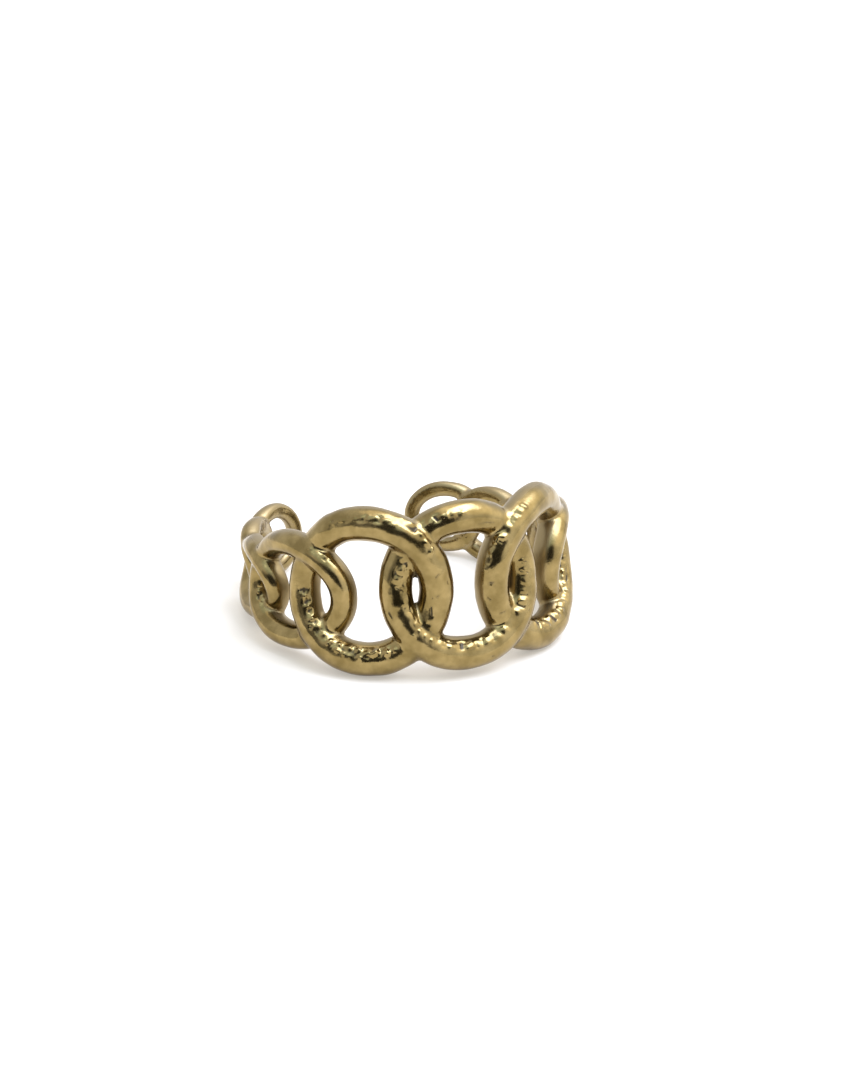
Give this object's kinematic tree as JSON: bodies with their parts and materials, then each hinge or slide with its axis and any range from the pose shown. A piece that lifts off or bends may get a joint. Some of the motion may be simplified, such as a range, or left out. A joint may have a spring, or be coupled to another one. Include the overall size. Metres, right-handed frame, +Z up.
{
  "type": "open chain link ring",
  "caption": "Open finger ring of lapping curb links in antique brass, hammered at the front, tapering to a gap at the back.",
  "frame": {"origin": "middle of the ring's box, on the surface that the ring lies on", "axes": "+X across the ring from side to side, +Y from the widest link to the gap, +Z up from the surface"},
  "size_m": [0.0214, 0.0202, 0.0106],
  "materials": {
    "antique_brass": "polished antique brass, browner in the recesses"
  },
  "bodies": {
    "root": {"link_band": "antique_brass"}
  },
  "joints": []
}
